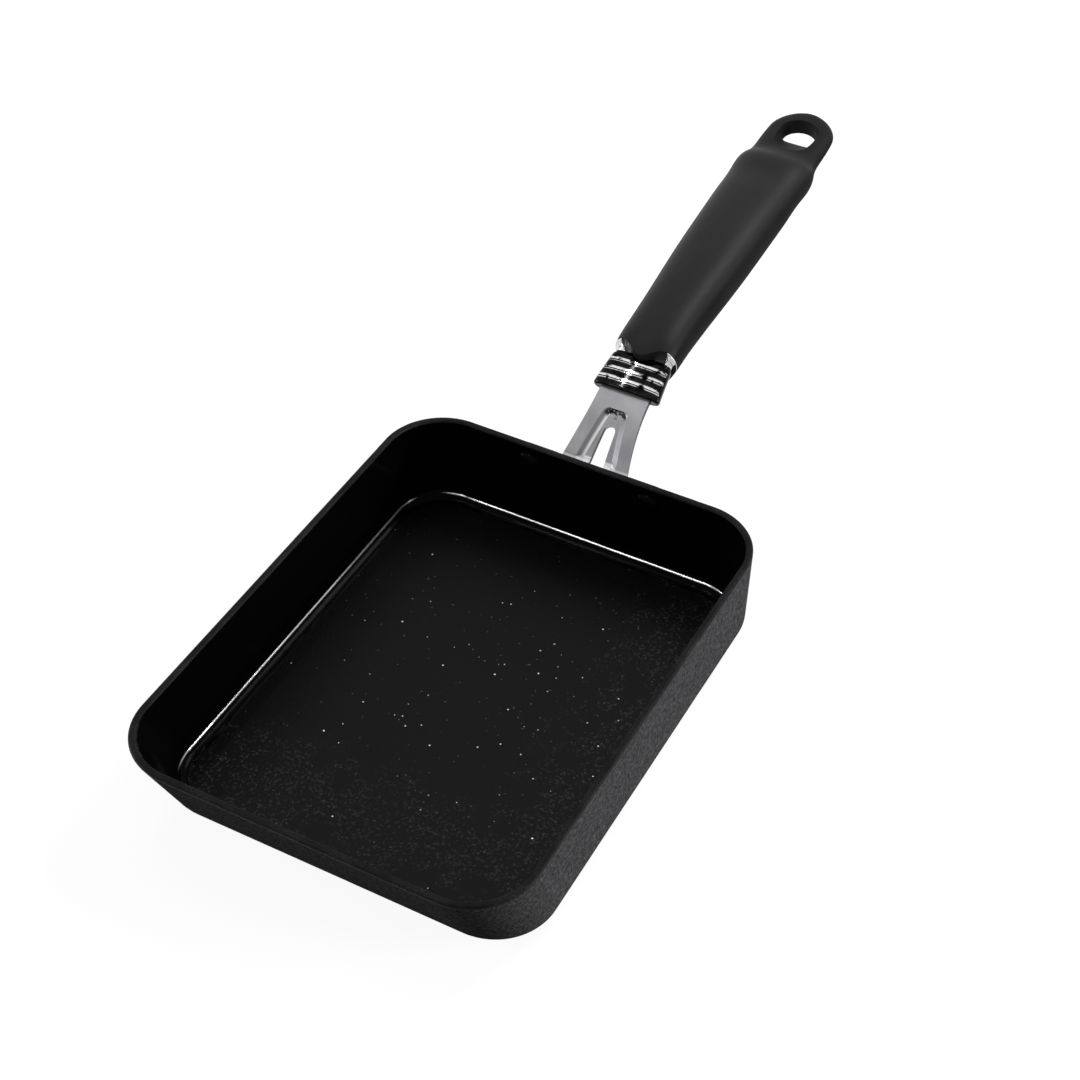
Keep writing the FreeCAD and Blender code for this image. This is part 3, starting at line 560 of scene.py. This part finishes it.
bpy.ops.object.select_all(action="DESELECT")
nodes["handle_grip"].select_set(True)
bpy.context.view_layer.objects.active = nodes["handle_grip"]
bpy.ops.object.duplicate()
guard_face = bpy.context.object
guard_face.name = "guard_face"
del guard_face["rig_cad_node"]
face_slope = math.radians(FACE_SLOPE)
forward = Vector((0.0, -math.cos(face_slope), -math.sin(face_slope)))
bpy.ops.object.mode_set(mode="EDIT")
bpy.ops.mesh.select_mode(type="FACE")
bpy.ops.mesh.select_all(action="SELECT")
bpy.ops.mesh.remove_doubles(threshold=MERGE_DISTANCE)
bpy.ops.mesh.customdata_custom_splitnormals_clear()
bpy.ops.mesh.select_all(action="DESELECT")
bpy.ops.object.mode_set(mode="OBJECT")
for face in guard_face.data.polygons:
    behind = face.center.dot(forward) + FACE_DISTANCE
    face.select = face.normal.dot(forward) < FACE_ALIGNMENT or abs(behind) > FACE_TOLERANCE
bpy.ops.object.mode_set(mode="EDIT")
bpy.ops.mesh.delete(type="FACE")
bpy.ops.mesh.select_all(action="SELECT")
bpy.ops.mesh.dissolve_limited()
bpy.ops.object.mode_set(mode="OBJECT")
thicken = guard_face.modifiers.new("thickness", "SOLIDIFY")
thicken.thickness = FACE_THICKNESS
thicken.offset = 1.0
bpy.ops.object.modifier_apply(modifier=thicken.name)
dress(guard_face, bright_plate())
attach(guard_face, "root")


# Grip
# Moulded in one piece from black phenolic resin, with a satin skin from the mould.
# A tongue reaches over the flame guard, and the flat tail has a scooped hanging hole.

PHENOLIC_DARK = (0.0060, 0.0060, 0.0064, 1.0)
PHENOLIC_LIGHT = (0.0100, 0.0100, 0.0106, 1.0)
PHENOLIC_ROUGHNESS = (0.55, 0.70)
PHENOLIC_RELIEF = 0.000012
SKIN_FACING = (0.95, 0.60)
SKIN_GRAIN = (0.9, 1.0)
HELD_END = 0.236
TAIL_START = 0.262
TAIL_SKIN = 0.45


def satin_phenolic():
    """Black resin with the faint grain of the mould; its skin is smooth on top and dull at the sides."""
    material, tree, shader = new_material(
        "satin_phenolic", Specular_IOR_Level=0.03, Coat_IOR=1.225, Coat_Roughness=0.44
    )
    grain = place_group(tree, GRAIN, Grain=0.00035, Clouds=0.018)
    sideways = calculate(tree, "ABSOLUTE", parts_of(tree, surface(tree, "Normal"))["X"])
    lengthways = parts_of(tree, surface(tree, "Object"))["Y"]
    tail = mask_between(tree, lengthways, HELD_END, TAIL_START)
    link_all(
        tree, shader,
        Base_Color=blend_colours(tree, grain["Slow"], PHENOLIC_DARK, PHENOLIC_LIGHT),
        Roughness=value_between(tree, grain["Fine"], *PHENOLIC_ROUGHNESS),
        Coat_Weight=product(
            tree,
            mask_between(tree, sideways, *SKIN_FACING),
            value_between(tree, tail, 1.0, TAIL_SKIN),
            value_between(tree, grain["Fine"], *SKIN_GRAIN),
        ),
        Normal=bumps(tree, grain["Fine"], PHENOLIC_RELIEF),
    )
    return material


dress(nodes["handle_grip"], satin_phenolic())


# Grip screw, washers and nut
# A zinc-plated machine screw with a cross recess goes from the grip's underside through the tang.
# A square nut on the tang takes it, and a split washer and a flat washer lie under its head.

ZINC_LIGHT = (0.60, 0.61, 0.63, 1.0)
ZINC_DARK = (0.40, 0.41, 0.42, 1.0)
ZINC_ROUGHNESS = (0.22, 0.40)
ZINC_RELIEF = 0.00001


def zinc_plate():
    """Zinc plating with faint clouds."""
    material, tree, shader = new_material("zinc_plate", Metallic=1.0)
    grain = place_group(tree, GRAIN, Grain=0.0009, Clouds=0.003)
    link_all(
        tree, shader,
        Base_Color=blend_colours(tree, grain["Slow"], ZINC_DARK, ZINC_LIGHT),
        Roughness=value_between(tree, grain["Fine"], *ZINC_ROUGHNESS),
        Normal=bumps(tree, grain["Fine"], ZINC_RELIEF),
    )
    return material


zinc = zinc_plate()
for name in ("grip_screw", "flat_washer", "spring_washer", "tang_nut"):
    dress(nodes[name], zinc)


# Studio
# A pale floor that the camera and reflections see as white, and that can't be seen from below,
# with soft lamps and a camera at the photograph's angle.

WHITE = (1.0, 1.0, 1.0, 1.0)
FLOOR_SIZE = 8.0
FLOOR_GAP = 0.0005
FLOOR_MIDDLE = (0.0, 0.0, 0.0)
FLOOR_COLOUR = (0.20, 0.20, 0.20, 1.0)
FLOOR_GLOW = 0.90
GLOW_NEAR = 0.25
GLOW_FAR = 1.0
SKY_ON_OBJECT = 0.15
LAMP_DISTANCE = 1.3
AIM = Vector((0.0101, 0.0390, 0.0500))
CAMERA_AZIMUTH = 28.334
CAMERA_ELEVATION = 42.969
CAMERA_DISTANCE = 0.68804
CAMERA_LENS = 70.397
SENSOR = 36.0


def seen_directly(tree):
    """1 for what the camera, a reflection or a see-through surface sees, and 0 for light on the object."""
    path = add_node(tree, "ShaderNodeLightPath").outputs
    either = calculate(tree, "MAXIMUM", path["Is Camera Ray"], path["Is Glossy Ray"])
    return calculate(tree, "MAXIMUM", either, path["Is Transmission Ray"])


def pale_floor():
    """Matt floor that glows white where it is seen, fully so farther out, and is clear from below."""
    material, tree, shader = new_material(
        "studio_floor", Base_Color=FLOOR_COLOUR, Specular_IOR_Level=0.0, Roughness=1.0, Emission_Color=WHITE
    )
    from_middle = measure(tree, "DISTANCE", surface(tree, "Object"), FLOOR_MIDDLE)
    glow = value_between(tree, mask_between(tree, from_middle, GLOW_NEAR, GLOW_FAR), FLOOR_GLOW, 1.0)
    from_below = add_node(tree, "ShaderNodeNewGeometry").outputs["Backfacing"]
    link_all(
        tree, shader,
        Emission_Strength=product(tree, seen_directly(tree), glow),
        Alpha=calculate(tree, "SUBTRACT", 1.0, from_below),
    )
    return material


bpy.ops.object.select_all(action="DESELECT")
bpy.ops.mesh.primitive_plane_add(size=FLOOR_SIZE, location=(0.0, 0.0, -FLOOR_GAP))
floor = bpy.context.object
floor.name = "studio_floor"
dress(floor, pale_floor())

world = bpy.data.worlds.new("studio")
world.use_nodes = True
bpy.context.scene.world = world
sky = world.node_tree
background = sky.nodes["Background"]
background.inputs["Color"].default_value = WHITE
sky.links.new(value_between(sky, seen_directly(sky), SKY_ON_OBJECT, 1.0), background.inputs["Strength"])


def add_lamp(name, direction, width, height, power, roll=0.0):
    """Soft lamp at a direction from the pan, turned towards it and rolled by some degrees."""
    lamp = bpy.data.lights.new(name, "AREA")
    lamp.shape = "RECTANGLE"
    lamp.size = width
    lamp.size_y = height
    lamp.energy = power
    holder = bpy.data.objects.new(name, lamp)
    bpy.context.scene.collection.objects.link(holder)
    towards_lamp = Vector(direction).normalized()
    holder.location = towards_lamp * LAMP_DISTANCE
    turn = towards_lamp.to_track_quat("Z", "Y") @ Quaternion((0.0, 0.0, 1.0), math.radians(roll))
    holder.rotation_euler = turn.to_euler()


add_lamp("right_lamp", direction=(0.93, 0.32, 0.22), width=0.50, height=0.40, power=13.0)
add_lamp("back_lamp", direction=(0.28, 0.60, 0.74), width=0.50, height=0.30, power=5.0)
add_lamp("left_lamp", direction=(-0.90, -0.36, 0.26), width=0.60, height=0.40, power=7.5)
add_lamp("front_lamp", direction=(-0.35, -0.78, 0.52), width=0.34, height=0.12, power=1.0)
add_lamp("strip_lamp", direction=(-0.438, 0.139, 1.219), width=0.60, height=0.006, power=1.5, roll=14.8)

azimuth = math.radians(CAMERA_AZIMUTH)
elevation = math.radians(CAMERA_ELEVATION)
towards_camera = Vector((
    math.sin(azimuth) * math.cos(elevation),
    -math.cos(azimuth) * math.cos(elevation),
    math.sin(elevation),
))
lens = bpy.data.cameras.new("camera")
lens.sensor_width = SENSOR
lens.lens = CAMERA_LENS
camera = bpy.data.objects.new("camera", lens)
bpy.context.scene.collection.objects.link(camera)
camera.location = AIM + towards_camera * CAMERA_DISTANCE
camera.rotation_euler = towards_camera.to_track_quat("Z", "Y").to_euler()
bpy.context.scene.camera = camera
bpy.context.scene.view_settings.view_transform = "Standard"
